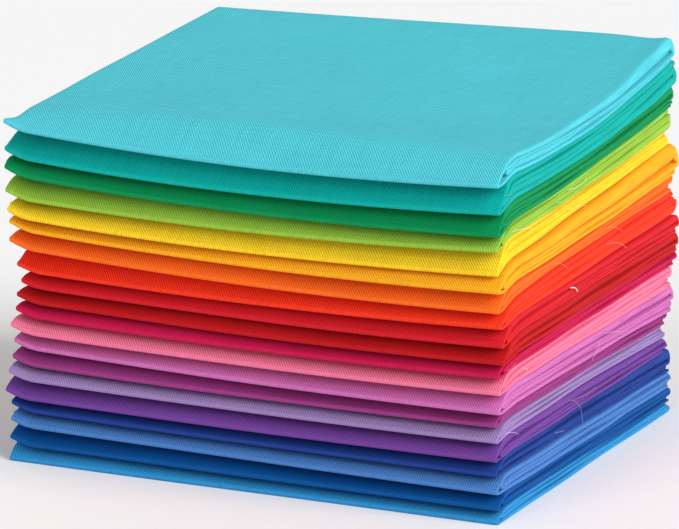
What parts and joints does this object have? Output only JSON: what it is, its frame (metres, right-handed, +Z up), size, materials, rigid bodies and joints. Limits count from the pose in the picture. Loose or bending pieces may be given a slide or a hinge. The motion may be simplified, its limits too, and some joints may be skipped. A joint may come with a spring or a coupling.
{
  "type": "fat quarter bundle",
  "caption": "Stack of folded plain cotton quilting cloths in rainbow order, outer folds to the front, for display, sewing or shelf dressing.",
  "frame": {"origin": "middle of the bundle's footprint, on the surface it stands on", "axes": "+X along the front folds, left to right; +Y from the front folds to the back; +Z up"},
  "size_m": [0.1544, 0.1358, 0.1149],
  "materials": {
    "cotton_aqua": "matte plain weave",
    "cotton_teal": "matte plain weave",
    "cotton_green": "matte plain weave",
    "cotton_lime": "matte plain weave",
    "cotton_yellow": "matte plain weave",
    "cotton_amber": "matte plain weave",
    "cotton_orange": "matte plain weave",
    "cotton_scarlet": "matte plain weave",
    "cotton_brick_red": "matte plain weave",
    "cotton_dark_red": "matte plain weave",
    "cotton_crimson": "matte plain weave",
    "cotton_pink": "matte plain weave",
    "cotton_orchid": "matte plain weave",
    "cotton_plum": "matte plain weave",
    "cotton_lavender": "matte plain weave",
    "cotton_purple": "matte plain weave",
    "cotton_royal_blue": "matte plain weave",
    "cotton_cornflower": "matte plain weave",
    "cotton_cerulean": "matte plain weave",
    "cotton_sky_blue": "matte plain weave"
  },
  "bodies": {
    "root": {"cloth_01_aqua": "cotton_aqua", "cloth_02_teal": "cotton_teal", "cloth_03_green": "cotton_green", "cloth_04_lime": "cotton_lime", "cloth_05_yellow": "cotton_yellow", "cloth_06_amber": "cotton_amber", "cloth_07_orange": "cotton_orange", "cloth_08_scarlet": "cotton_scarlet", "cloth_09_brick_red": "cotton_brick_red", "cloth_10_dark_red": "cotton_dark_red", "cloth_11_crimson": "cotton_crimson", "cloth_12_pink": "cotton_pink", "cloth_13_orchid": "cotton_orchid", "cloth_14_plum": "cotton_plum", "cloth_15_lavender": "cotton_lavender", "cloth_16_purple": "cotton_purple", "cloth_17_royal_blue": "cotton_royal_blue", "cloth_18_cornflower": "cotton_cornflower", "cloth_19_cerulean": "cotton_cerulean", "cloth_20_sky_blue": "cotton_sky_blue"}
  },
  "joints": []
}
